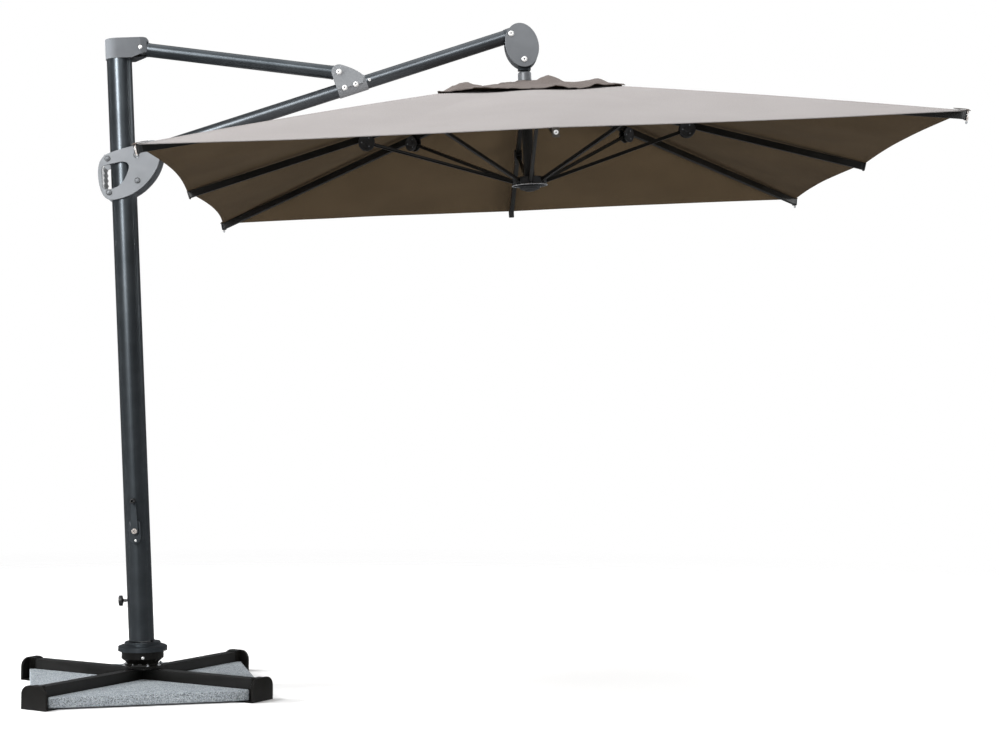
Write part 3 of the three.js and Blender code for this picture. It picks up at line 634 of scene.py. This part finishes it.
def dress_frame():
    finish = {
        "graphite_paint": ["mast_tube", "hanger_neck", "swivel_cover", "crank_housing", "crank_arm",
                           "link_tube", "link_head_end", "arm_tube", "arm_foot", "arm_head"],
        "matt_casting": ["head_cap", "arm_bracket"],
        "grey_casting": ["disc_front", "disc_rear", "slider_plate_front",
                         "slider_plate_rear", "tilt_yoke"],
        "black_frame": ["base_bar_through", "base_bar_notched", "base_plate", "swivel_socket",
                        "brake_pedal", "mast_head", "canopy_shaft"],
        "bright_steel": ["base_spigot", "head_bolt", "crank_drum"],
        "black_plastic": ["bearing_bush", "clamp_knob", "crank_knob", "slider_sleeve", "crown_hub",
                          "runner_hub"],
        "grip_plastic": ["slider_grip"],
    }
    finish["black_frame"] += [f"end_cap_{quarter}" for quarter in QUARTERS]
    finish["black_frame"] += [f"{part}_{rib}" for part in ("rib", "strut") for rib in RIBS]
    for look, nodes in finish.items():
        for node in nodes:
            dress(node, look)
    for side in SIDES:
        dress(f"stone_slab_{side}", "granite", 0.004)


# ---------------------------------------------------------------- canopy cloth

CLOTH = 0.0014
HEM_WIDE = 0.024
HEM_EXTRA = 0.0016            # added thickness of the folded hem
HEM_STEP = 0.0008             # width of the step up to a hem
CLOTH_CLEAR = 0.004           # from the ribs' upper faces to the cloth
SEAM_HALF = 0.008
SEAM_EXTRA = 0.0003
PLAIN_SHIFT = 5.0             # slides a seamless gore's UV map clear of the stitch line
SCALLOP = 0.036               # how far the hem draws in between ribs
SAG = 0.020                   # how far the cloth hangs between ribs
SAG_SCALE = 2.6               # brings the greatest value of the sag's formula to SAG
TAUT = 0.0022                 # height of the pulled waves between ribs
RIPPLE = 0.0016               # height of the slow unevenness
BOW = 0.009                   # how far it stands above straight ribs half-way out
HOLE = 0.25                   # half side of the hole under the vent
BAY_STEPS = 14


def contour_point(place, half, drawn):
    """A point of a square contour. Place runs round it with a rib at each whole number, mid-side
    ribs at the even ones."""
    side = math.floor((place + 1) / 2)
    share = place - 2 * side
    x = half - drawn * abs(math.sin(math.pi * place))
    y = half * share
    turn = side * math.radians(90)
    return Vector((x * math.cos(turn) - y * math.sin(turn), x * math.sin(turn) + y * math.cos(turn), 0))


def rib_line(half):
    """The height of the cloth's underside at a contour, where the ribs are straight."""
    run = HALF_SIDE - RIB_SHORT - RIB_PIVOT
    fall = CROWN - RIB_TIP
    return CROWN - (half - RIB_PIVOT) * fall / run + RIB_DEEP / 2 + CLOTH_CLEAR


def cloth_point(place, half):
    """A point of the canopy's underside: bowed over the ribs and sagging between them."""
    out = half / HALF_SIDE
    bay = math.sin(math.pi * place) ** 2
    point = contour_point(place, half, SCALLOP * out ** 6)
    bow = BOW * 4 * out * (1 - out)
    sag = SAG * bay * SAG_SCALE * out ** 1.5 * (1 - out ** 3)
    taut = TAUT * bay * math.sin(26 * (place % len(RIBS))) * out ** 3
    ripple = RIPPLE * noise.noise(Vector((point.x * 3, point.y * 3, 0.5))) * bay
    point.z = rib_line(half) + bow - sag + ripple + taut * (1 - out ** 8)
    return point


def gore_places(rib, half, steps):
    """Places across a gore, with a narrow seam band on its rib."""
    seam = SEAM_HALF / half
    inner = [rib - seam, rib - seam * 0.9, rib, rib + seam * 0.9, rib + seam]
    left = [rib - 0.5 + (0.5 - seam) * step / steps for step in range(steps)]
    right = [rib + seam + (0.5 - seam) * (step + 1) / steps for step in range(steps)]
    return left + inner + right


def cloth_mesh(name, rows, surface, extra, rib, look, hem_at=None):
    """A closed thin sheet. rows are the contours' half sides, surface gives a point for a place
    and a half side, and extra the added thickness there. hem_at is the hem's half side, where
    the sheet stops short of it."""
    top, under, uvs, hems = [], [], [], []
    along, across = rib_directions(rib)
    outer = hem_at or rows[-1]
    seamed = rib % 2 == 1           # only a corner rib lies on a seam
    plain = 0.0 if seamed else PLAIN_SHIFT
    for half in rows:
        for place in gore_places(rib, half, BAY_STEPS):
            point = surface(place, half)
            offset = place - rib if seamed else 0.5
            thick = CLOTH + extra(offset, half, outer)
            top.append(point + Vector((0, 0, thick)))
            under.append(point)
            uvs.append((point.dot(across) + plain, point.dot(along)))
            hems.append(outer - half)
    columns = 2 * BAY_STEPS + 5
    count = len(top)
    faces = []
    looks = []
    for row in range(len(rows) - 1):
        for column in range(columns - 1):
            a = row * columns + column
            b, c, d = a + 1, a + 1 + columns, a + columns
            faces.append((a, d, c, b))
            looks.append(0)
            faces.append((count + a, count + b, count + c, count + d))
            looks.append(1)
    rim = [row * columns for row in range(len(rows))]
    rim += [(len(rows) - 1) * columns + column for column in range(1, columns)]
    rim += [row * columns + columns - 1 for row in range(len(rows) - 2, -1, -1)]
    rim += [column for column in range(columns - 2, 0, -1)]
    for index, a in enumerate(rim):
        b = rim[(index + 1) % len(rim)]
        faces.append((a, b, count + b, count + a))
        looks.append(0)
    mesh = bpy.data.meshes.new(name)
    mesh.from_pydata(top + under, [], faces)
    mesh.materials.append(LOOKS[look])
    # The underside faces take the cloth painted darker and browner: painted shade.
    mesh.materials.append(LOOKS["cloth_under_painted_shade"])
    mesh.polygons.foreach_set("material_index", looks)
    layer = mesh.uv_layers.new(name=CLOTH_UV)
    for loop in mesh.loops:
        layer.data[loop.index].uv = uvs[loop.vertex_index % count]
    hem = mesh.attributes.new("hem", "FLOAT", "POINT")
    hem.data.foreach_set("value", hems + hems)
    fix_normals(mesh)
    return mesh


def gore_extra(offset, half, outer):
    extra = 0.0
    if abs(offset) * half < SEAM_HALF * 0.95:
        extra = SEAM_EXTRA
    if outer - half < HEM_WIDE:
        extra = max(extra, HEM_EXTRA)
    return extra


def gore_rows():
    inner_steps = 26
    rows = [HOLE + (HALF_SIDE - HEM_WIDE - HOLE) * step / inner_steps for step in range(inner_steps + 1)]
    rows += [HALF_SIDE - HEM_WIDE + HEM_STEP, HALF_SIDE - HEM_WIDE / 2, HALF_SIDE]
    return rows


def follows_rib(obj):
    """Gives the piece its own copy of its mesh."""
    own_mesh(obj)


def canopy_gores():
    for index, rib in enumerate(RIBS):
        mesh = cloth_mesh(f"canopy_gore_{rib}", gore_rows(), cloth_point, gore_extra, index, "cloth_top")
        obj = new_piece(f"canopy_gore_{rib}", mesh, "cloth_top", CANOPY, f"rib_{rib}",
                        ["canopy_cloth"], sharp=60)
        follows_rib(obj)


# ---------------------------------------------------------------- vent

# Half sides of the flap, of its hole and of its inner part, then its heights at edge and hole.
VENT = {"half": 0.395, "neck": 0.034, "crown": 0.082, "edge": 0.334, "top": 0.428}
VENT_HEM = 0.012
VENT_HEM_EXTRA = 0.0012
VENT_CLEAR = 0.003            # from the canopy up to the flap
VENT_SCALLOP = 0.010          # how far its edge draws in between ribs
LIFT_LEAST = 0.001            # how far its edge stands up between ribs
LIFT_MORE = 0.009
CREASE = 0.009                # height of the creases, and of the coarse and fine unevenness
UNEVEN = 0.009
CRINKLE = 0.004
# Where the loose flap puffs up: x, y from the pole, height and width of each fold.
VENT_PUFFS = [(0.310, -0.20, 0.040, 0.080), (0.105, -0.10, 0.050, 0.055), (0.150, -0.30, 0.016, 0.060),
              (0.23, 0.16, 0.035, 0.07), (-0.09, -0.30, 0.016, 0.060), (-0.28, -0.31, 0.030, 0.075),
              (-0.20, 0.22, 0.025, 0.07), (0.02, 0.28, 0.035, 0.06)]


def vent_point(place, half):
    """A point of the loose flap. It never dips into the canopy below it."""
    out = (half - VENT["neck"]) / (VENT["half"] - VENT["neck"])
    point = contour_point(place, half, VENT_SCALLOP * out)
    slope = VENT["top"] + (VENT["edge"] - VENT["top"]) * out ** 0.9
    bay = abs(math.sin(math.pi * place))
    turn = place % len(RIBS)
    # The edge stands up by more in some bays than in others.
    flutter = 0.5 + 0.5 * math.sin(7.3 * turn + 1.9 * math.sin(2.1 * turn))
    lift = out ** 2 * bay * (LIFT_LEAST + LIFT_MORE * flutter)
    # Creases run out from the pole.
    crease = 1 - abs(math.sin(8.5 * turn + 1.3 * math.sin(3 * out + turn)))
    fold = CREASE * out * (crease ** 2 - 0.4) * bay ** 0.5
    fold += UNEVEN * out ** 0.5 * noise.noise(Vector((point.x * 14, point.y * 14, 2.5)))
    fold += CRINKLE * noise.noise(Vector((point.x * 47, point.y * 47, 8.5)))
    puff = 0.0
    for x, y, height, width in VENT_PUFFS:
        near = ((point.x - x) ** 2 + (point.y - y) ** 2) / width ** 2
        puff += height * math.exp(-near)
    clear_of_canopy = cloth_point(place, half).z + CLOTH + VENT_CLEAR
    point.z = max(slope + lift + fold + puff * (0.25 + 0.75 * out ** 0.5), clear_of_canopy)
    return point


def vent_extra(offset, half, outer):
    return VENT_HEM_EXTRA if outer - half < VENT_HEM else 0.0


def vent_flaps():
    """The flap's outer part follows the ribs, and its inner part stays on the crown."""
    inner_steps = 20
    crown_steps = 4
    reach = VENT["half"] - VENT_HEM
    crown_wide = VENT["crown"] - VENT["neck"]
    crown_rows = [VENT["neck"] + crown_wide * step / crown_steps for step in range(crown_steps + 1)]
    rows = [VENT["crown"] + (reach - VENT["crown"]) * step / inner_steps for step in range(inner_steps + 1)]
    rows += [reach + HEM_STEP, VENT["half"]]
    for index, rib in enumerate(RIBS):
        crown = cloth_mesh(f"vent_crown_{rib}", crown_rows, vent_point, vent_extra, index, "cloth_vent",
                           VENT["half"])
        patch = new_piece(f"vent_crown_{rib}", crown, "cloth_top", CANOPY, "canopy",
                          ["vent_cap"], sharp=70)
        mesh = cloth_mesh(f"vent_gore_{rib}", rows, vent_point, vent_extra, index, "cloth_vent")
        obj = new_piece(f"vent_gore_{rib}", mesh, "cloth_top", CANOPY, f"rib_{rib}",
                        ["vent_cap"], sharp=70)
        follows_rib(obj)


# ---------------------------------------------------------------- fixings

def screw_mesh(radius):
    """A button head with a socket in its middle, on Z from 0."""
    high = radius * 0.36
    return turned("screw", [(0, 0), (radius, 0), (radius, high * 0.35), (radius * 0.93, high * 0.7),
                            (radius * 0.70, high * 0.96), (radius * 0.34, high), (radius * 0.30, high * 0.95),
                            (radius * 0.28, high * 0.45), (0, high * 0.45)], 28)


def screw(name, place, direction, radius, body):
    """The socket inside the head is painted darker and rougher than the head: painted shade in the recess."""
    mesh = screw_mesh(radius)
    mesh.materials.append(LOOKS["zinc"])
    mesh.materials.append(LOOKS["zinc_painted_shade"])
    for face in mesh.polygons:
        if math.hypot(face.center.x, face.center.y) < radius * 0.31 and face.center.z > radius * 0.05:
            face.material_index = 1
    new_piece(name, mesh, "zinc", looking(place, direction), body)


def front_and_back(name, x, z, depth, radius, body):
    """A screw on each side of a piece that the mast's XZ plane cuts in half."""
    for side, label in ((-1, "front"), (1, "back")):
        place = MAST @ Vector((x, side * depth, z))
        screw(f"{name}_{label}", place, (0, side, 0), radius, body)


def mast_place(joint):
    return MAST.inverted() @ Vector(JOINTS[joint]["pos_m"])


ARM_START_X = 0.866           # a point of the arm's axis in the mast's frame
ARM_START_Z = 2.546
ARM_SLOPE = math.tan(math.radians(15.96))
CAP_RADIUS = 0.0125


def arm_height(x):
    """The arm's axis at x, in the mast's frame."""
    return ARM_START_Z + (x - ARM_START_X) * ARM_SLOPE


def arm_fixings():
    pin = mast_place("arm_swing")
    front_and_back("bracket_pin_screw", pin.x, pin.z, 0.0405, CAP_RADIUS, "arm")
    for label, x in (("low", 0.977), ("high", 1.026)):
        front_and_back(f"bracket_sleeve_screw_{label}", x, arm_height(x), 0.0347, CAP_RADIUS, "arm")
    rivet_x = 1.086
    front_and_back("arm_rivet", rivet_x, arm_height(rivet_x), 0.0305, 0.0065, "arm")
    hanger = mast_place("hanger_level")
    front_and_back("disc_screw_low", hanger.x, hanger.z, 0.0463, CAP_RADIUS, "arm")
    front_and_back("disc_screw_high", hanger.x - 0.054, hanger.z + 0.1145, 0.0463, CAP_RADIUS, "arm")
    tilt = mast_place("canopy_tilt")
    front_and_back("yoke_screw", tilt.x, tilt.z, 0.0255, 0.009, "canopy")
    link = mast_place("arm_fold")
    front_and_back("head_screw", link.x, link.z, 0.0555, 0.0085, "mast")


def slider_fixings():
    """Four domed rivets through each plate, each on a dark washer."""
    plate_face = 0.0650
    for label, x, z in (("back_high", -0.057, 2.300), ("front_high", 0.067, 2.311),
                        ("front_low", 0.068, 2.200), ("back_low", -0.056, 2.153)):
        for side, face in ((-1, "front"), (1, "rear")):
            place = MAST @ Vector((x, side * plate_face, z))
            washer = turned("washer", [(0, 0), (0.0125, 0), (0.0125, 0.0012), (0.0115, 0.002),
                                       (0, 0.002)], 28)
            new_piece(f"slider_washer_{face}_{label}", washer, "black_frame",
                      looking(place, (0, side, 0)), "slider")
            dome = turned("dome", [(0, 0.002), (0.0095, 0.002), (0.0090, 0.0045), (0.0065, 0.0068),
                                   (0.003, 0.0078), (0, 0.008)], 28)
            new_piece(f"slider_rivet_{face}_{label}", dome, "grey_casting",
                      looking(place, (0, side, 0)), "slider")


def crank_fixings():
    centre = mast_place("crank_turn")
    front = MAST @ Vector((centre.x, -0.0890, centre.z))
    cap = turned("cap", [(0, 0), (0.0115, 0), (0.0115, 0.003), (0.0095, 0.005), (0.0050, 0.005),
                         (0.0045, 0.0025), (0, 0.0025)], 32)
    new_piece("crank_screw_cap", cap, "clear_plastic", looking(front, (0, -1, 0)), "crank")
    low = MAST @ Vector((centre.x + 0.002, -0.0770, centre.z - 0.041))
    screw("crank_housing_screw", low, (0, -1, 0), 0.005, "mast")


def swivel_fixings():
    """Eight bolts on a circle round the socket's foot, and the set screw in the socket's side."""
    circle = 0.080
    above_plate = 0.0062
    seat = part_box("base_plate")[1].z + above_plate
    for index in range(8):
        turn = EIGHTH / 2 + index * EIGHTH
        place = Vector((circle * math.cos(turn), circle * math.sin(turn), seat))
        head = [(0, 0), (0.0075, 0), (0.0075, 0.0048), (0.0066, 0.0056), (0, 0.0056)]
        bolt = turned("bolt", head, 6)
        stud = turned("stud", [(0, 0.005), (0.004, 0.005), (0.004, 0.0105), (0.0034, 0.011), (0, 0.011)], 16)
        new_piece(f"flange_bolt_{index + 1}", merged("bolt", bolt, stud), "bright_steel",
                  looking(place, (0, 0, 1)), "base", sharp=25)
    grip = Vector((0.014, -0.0895, 0.145))
    screw("socket_set_screw", grip, (0.1, -1, 0.1), 0.006, "base")


# ---------------------------------------------------------------- canopy fittings

def rib_slope(index):
    reach = HALF_SIDE * (math.sqrt(2) if index % 2 else 1) - RIB_SHORT
    run = reach - RIB_PIVOT
    return reach, math.atan2(CROWN - RIB_TIP, run)


def rib_end_axes(index):
    """At the outer end of a rib: x out along it, z up square to it."""
    reach, slope = rib_slope(index)
    heading = Matrix.Rotation(index * EIGHTH, 4, "Z")
    return CANOPY @ heading @ Matrix.Translation((reach, 0, RIB_TIP)) @ Matrix.Rotation(slope, 4, "Y")


def rounded_rectangle(wide, deep, corner, steps=4):
    points = []
    for index, (x, y) in enumerate(((1, 1), (-1, 1), (-1, -1), (1, -1))):
        for step in range(steps + 1):
            turn = math.radians(90) * (index + step / steps)
            points.append((x * (wide / 2 - corner) + corner * math.cos(turn),
                           y * (deep / 2 - corner) + corner * math.sin(turn)))
    return points


def along_x():
    """Turns a piece built along Z so that it points along X, its width across."""
    return Matrix(((0, 0, 1, 0), (1, 0, 0, 0), (0, 1, 0, 0), (0, 0, 0, 1)))


def ribbon(name, path, wide, thick):
    """A flat band of rectangular section along a path in the XZ plane."""
    points = []
    for index, (x, z) in enumerate(path):
        before = Vector(path[max(index - 1, 0)])
        after = Vector(path[min(index + 1, len(path) - 1)])
        run = (after - before).normalized()
        out = Vector((-run.y, run.x)) * thick / 2
        for side in (-1, 1):
            for face in (-1, 1):
                points.append((x + face * out.x, side * wide / 2, z + face * out.y))
    faces = [(0, 1, 3, 2)]
    for index in range(len(path) - 1):
        a = 4 * index
        b = a + 4
        faces += [(a, b, b + 1, a + 1), (a + 1, b + 1, b + 3, a + 3), (a + 3, b + 3, b + 2, a + 2),
                  (a + 2, b + 2, b, a)]
    last = 4 * (len(path) - 1)
    faces.append((last, last + 2, last + 3, last + 1))
    mesh = bpy.data.meshes.new(name)
    mesh.from_pydata(points, [], faces)
    fix_normals(mesh)
    return mesh


def rib_ends():
    """Each rib ends in a flared plug. At a corner, a tab covers it and a clear strap with a screw
    and a ring holds the hem round it."""
    for index, rib in enumerate(RIBS):
        place = rib_end_axes(index)
        outward = place.to_3x3() @ Vector((1, 0, 0))
        collar = prism("collar", rounded_rectangle(RIB_WIDE + 0.007, RIB_DEEP + 0.008, 0.004), 0.006, 0.001)
        core = prism("core", rounded_rectangle(RIB_WIDE + 0.001, RIB_DEEP + 0.001, 0.003), 0.016, 0.0008)
        plug = merged("plug", moved(collar, Matrix.Translation((0, 0, 0.0005))),
                      moved(core, Matrix.Translation((0, 0, -0.015))))
        look = "smoke_plastic" if rib == "front_mid" else "black_plastic"
        new_piece(f"rib_plug_{rib}", plug, look, place @ along_x(), f"rib_{rib}")
        if rib == "front_mid":
            face = place @ Vector((0.0066, 0, 0.001))
            screw(f"rib_plug_screw_{rib}", face, outward, 0.0085, f"rib_{rib}")
        if index % 2 == 0:
            continue
        deep = RIB_DEEP / 2
        path = [(-0.012, deep + 0.003), (0.002, deep + 0.004), (0.0085, deep - 0.001), (0.0095, 0.004),
                (0.0092, -0.008), (0.0088, -deep - 0.002), (0.0078, -deep - 0.009)]
        tab = [(-0.045, deep + 0.0090), (-0.020, deep + 0.0093), (0.004, deep + 0.0088),
               (0.0125, deep + 0.0045)]
        new_piece(f"corner_tab_{rib}", ribbon("tab", tab, 0.024, 0.0022), "cloth_tab", place,
                  f"rib_{rib}")
        strap = ribbon("strap", path, 0.010, 0.0014)
        new_piece(f"hem_strap_{rib}", strap, "clear_plastic", place, f"rib_{rib}")
        screw(f"strap_screw_{rib}", place @ Vector((0.0100, 0, 0.003)), outward, 0.0048, f"rib_{rib}")
        ring = turned("ring", [(0.0028, -0.0016), (0.0056, -0.0016), (0.0060, 0), (0.0056, 0.0016),
                               (0.0028, 0.0016), (0.0028, -0.0016)], 28)
        strap_end = Matrix.Translation((0.0078, 0, -deep - 0.011))
        hole = place @ strap_end @ Matrix.Rotation(math.radians(90), 4, "Y")
        new_piece(f"strap_ring_{rib}", ring, "grey_casting", hole, f"rib_{rib}")


def strut_brackets():
    """A moulded round cheek on both sides of each rib, with three small screws."""
    for index, rib in enumerate(RIBS):
        pin = Vector(JOINTS[f"strut_{rib}_fold"]["pos_m"])
        across = CANOPY.to_3x3() @ rib_directions(index)[1]
        up = CANOPY.to_3x3() @ Vector((0, 0, 1))
        for side, label in ((-1, "a"), (1, "b")):
            face = pin + across * side * (RIB_WIDE / 2 + 0.0040)
            place = axes(face, up, across * side)
            cheek = turned("cheek", [(0, -0.0005), (0.0352, -0.0005), (0.0362, 0.0008), (0.0352, 0.0028),
                                     (0.0315, 0.0034), (0.0300, 0.0026), (0.0110, 0.0026), (0.0100, 0.0042),
                                     (0, 0.0046)], 40)
            new_piece(f"strut_cheek_{rib}_{label}", cheek, "black_plastic", place, f"rib_{rib}")
            for step in range(3):
                turn = math.radians(90 + 120 * step)
                spot = place @ Vector((0.021 * math.cos(turn), 0.021 * math.sin(turn), 0.0024))
                new_piece(f"cheek_screw_{rib}_{label}{step + 1}", screw_mesh(0.0032), "grey_casting",
                          looking(spot, across * side), f"rib_{rib}")


def hub_trim():
    """A bright ring and a dark boss under the runner, and the foot of the pole."""
    ring = turned("ring", [(0.0735, -0.0315), (0.0785, -0.0315), (0.0795, -0.0295), (0.0785, -0.0275),
                           (0.0735, -0.0275), (0.0735, -0.0315)], 64)
    new_piece("runner_ring", ring, "bright_steel", CANOPY, "runner")
    boss = turned("boss", [(0.0250, -0.0300), (0.0440, -0.0300), (0.0460, -0.034), (0.0420, -0.046),
                           (0.0300, -0.0500), (0.0250, -0.0500), (0.0250, -0.0300)], 48)
    new_piece("runner_boss", boss, "black_plastic", CANOPY, "runner")
    foot = turned("foot", [(0, -0.0340), (0.0215, -0.0340), (0.0240, -0.037), (0.0240, -0.048),
                           (0.0200, -0.0540), (0, -0.056)], 40)
    new_piece("shaft_foot", foot, "black_plastic", CANOPY, "canopy")


# ---------------------------------------------------------------- assembly

studio()
dress_frame()
canopy_gores()
vent_flaps()
arm_fixings()
slider_fixings()
crank_fixings()
swivel_fixings()
rib_ends()
strut_brackets()
hub_trim()
